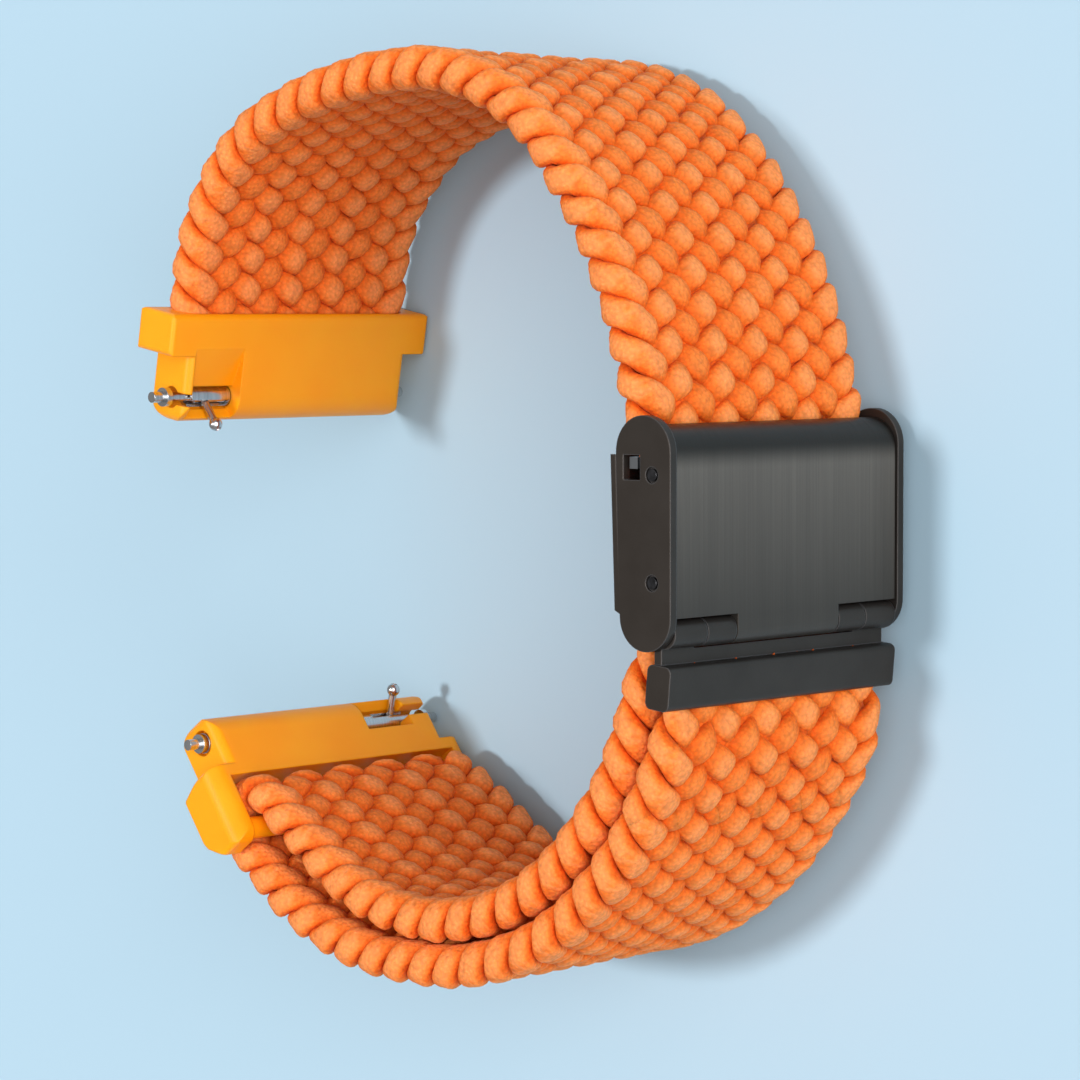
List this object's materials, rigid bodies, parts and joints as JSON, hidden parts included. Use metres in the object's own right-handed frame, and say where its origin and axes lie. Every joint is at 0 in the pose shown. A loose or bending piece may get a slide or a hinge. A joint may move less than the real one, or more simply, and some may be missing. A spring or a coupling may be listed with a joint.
{
  "type": "braided watch strap",
  "caption": "Flat braided nylon watch strap looped back through a slotted lug end, with quick-release spring bars and a hinged sliding buckle with an end bar.",
  "frame": {"origin": "middle of the object's box at its lowest face, the ears of the lugs, as the strap lies on its side", "axes": "+Z across the strap's width, towards the side with the upper lug's release lever; +X up the loop from the folded return run to the crown; +Y from the buckle to the gap between the lugs"},
  "size_m": [0.0646, 0.0526, 0.0255],
  "materials": {
    "braid": "matte ribbed nylon and elastic cords, flat braid",
    "lug_plastic": "smooth moulded plastic with a soft sheen",
    "bright_steel": "bright turned steel",
    "spring_steel": "drawn spring steel",
    "black_satin": "black coated steel, satin",
    "black_brushed": "black coated steel, brushed along the strap",
    "black_pin": "black coated pins",
    "pad_steel": "pressed steel with blunt teeth"
  },
  "bodies": {
    "strap": {"strap_band": "braid", "strap_tail": "braid", "upper_lug": "lug_plastic", "upper_barrel": "bright_steel", "upper_fixed_tip": "bright_steel", "upper_spring": "spring_steel", "buckle_frame": "black_satin", "upper_guide_pin": "black_pin", "lower_guide_pin": "black_pin", "hinge_pin": "black_pin", "near_bush": "black_satin", "far_bush": "black_satin"},
    "cover": {"buckle_cover": "black_brushed", "clamp_pad": "pad_steel", "catch_spring": "spring_steel"},
    "end_clamp": {"end_bar": "black_satin"},
    "upper_release": {"upper_plunger": "bright_steel", "upper_lever": "bright_steel"},
    "swivel_lug": {"lower_lug": "lug_plastic", "lower_barrel": "bright_steel", "lower_fixed_tip": "bright_steel", "lower_spring": "spring_steel"},
    "lower_release": {"lower_plunger": "bright_steel", "lower_lever": "bright_steel"}
  },
  "joints": [
    {"name": "cover_hinge", "type": "hinge", "parent": "strap", "child": "cover", "pos_m": [-0.00639, -0.02521, 0.01275], "axis": [0, 0, -1], "range_deg": [0, 90], "deforming": ["catch_spring"]},
    {"name": "end_bar_hinge", "type": "hinge", "parent": "strap", "child": "end_clamp", "pos_m": [-0.00639, -0.02521, 0.01275], "axis": [0, 0, 1], "range_deg": [0, 20], "deforming": ["strap_tail"]},
    {"name": "lower_lug_swivel", "type": "hinge", "parent": "strap", "child": "swivel_lug", "pos_m": [-0.02298, 0.01565, 0.01275], "axis": [0, 0, 1], "range_deg": [-30, 50]},
    {"name": "upper_plunger_slide", "type": "slide", "parent": "strap", "child": "upper_release", "axis": [0, 0, -1], "range_m": [0, 0.0017], "stiffness_N_per_m": 400, "deforming": ["upper_spring"]},
    {"name": "lower_plunger_slide", "type": "slide", "parent": "swivel_lug", "child": "lower_release", "axis": [0, 0, 1], "range_m": [0, 0.0017], "stiffness_N_per_m": 400, "deforming": ["lower_spring"]}
  ]
}
